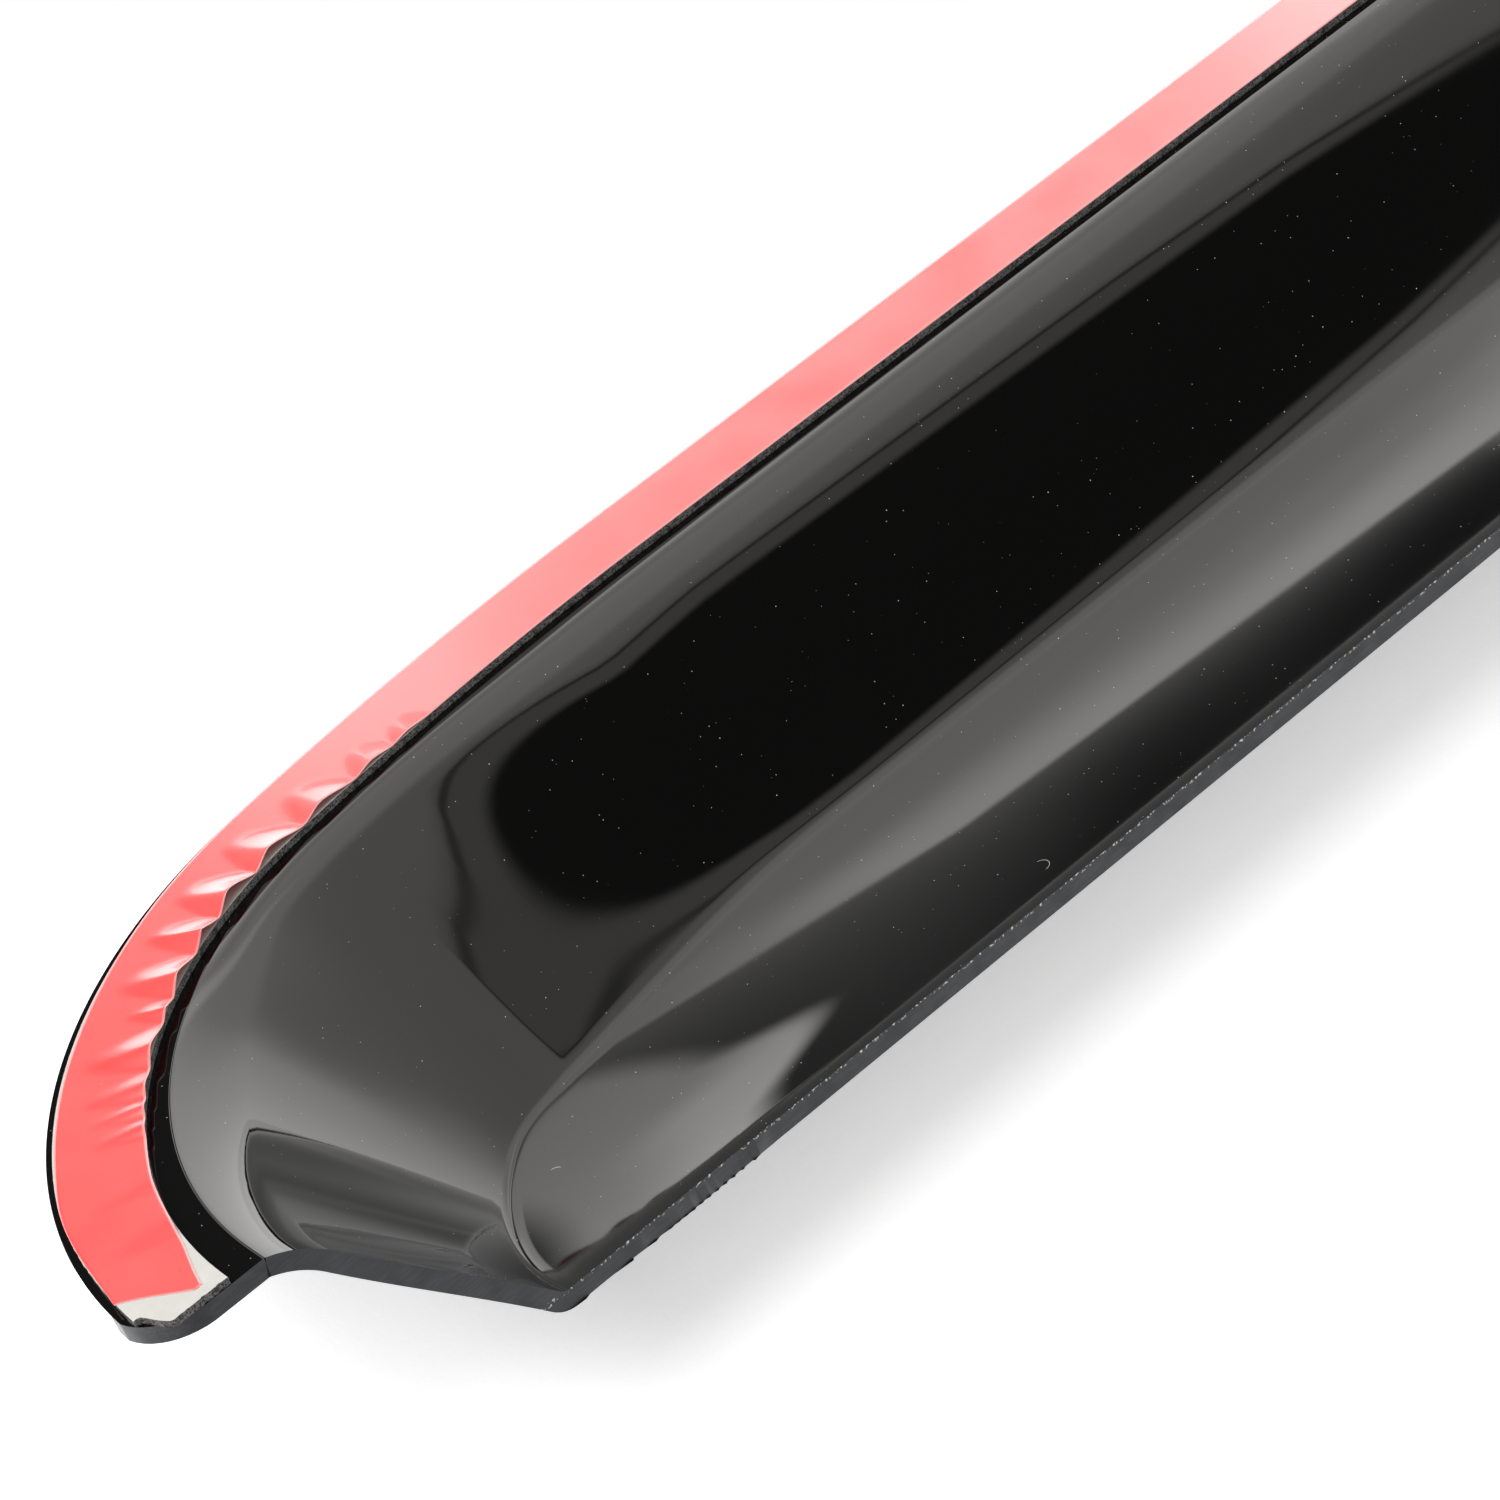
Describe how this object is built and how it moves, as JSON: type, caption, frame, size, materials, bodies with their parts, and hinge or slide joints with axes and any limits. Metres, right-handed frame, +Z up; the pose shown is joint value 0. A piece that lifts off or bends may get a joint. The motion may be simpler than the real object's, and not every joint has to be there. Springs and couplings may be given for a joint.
{
  "type": "window rain deflector",
  "caption": "Smoked acrylic window rain deflector with rounded ends, lying hollow side up on its crease and its flange, with foam tape and a red release liner on the flange.",
  "frame": {"origin": "bottom centre of the bounding box, on the surface that the deflector lies on", "axes": "+X along the deflector, +Y from the free edge towards the taped flange, +Z up as it lies with its hollow side up"},
  "size_m": [0.6998, 0.0894, 0.0502],
  "materials": {
    "smoked_acrylic": "polished, dusty inside, sawn edges",
    "foam": "pale grey adhesive foam",
    "red_film": "thin satin film, puckered round the ends"
  },
  "bodies": {
    "root": {"deflector_shell": "smoked_acrylic", "foam_tape": "foam", "release_liner": "red_film"}
  },
  "joints": []
}
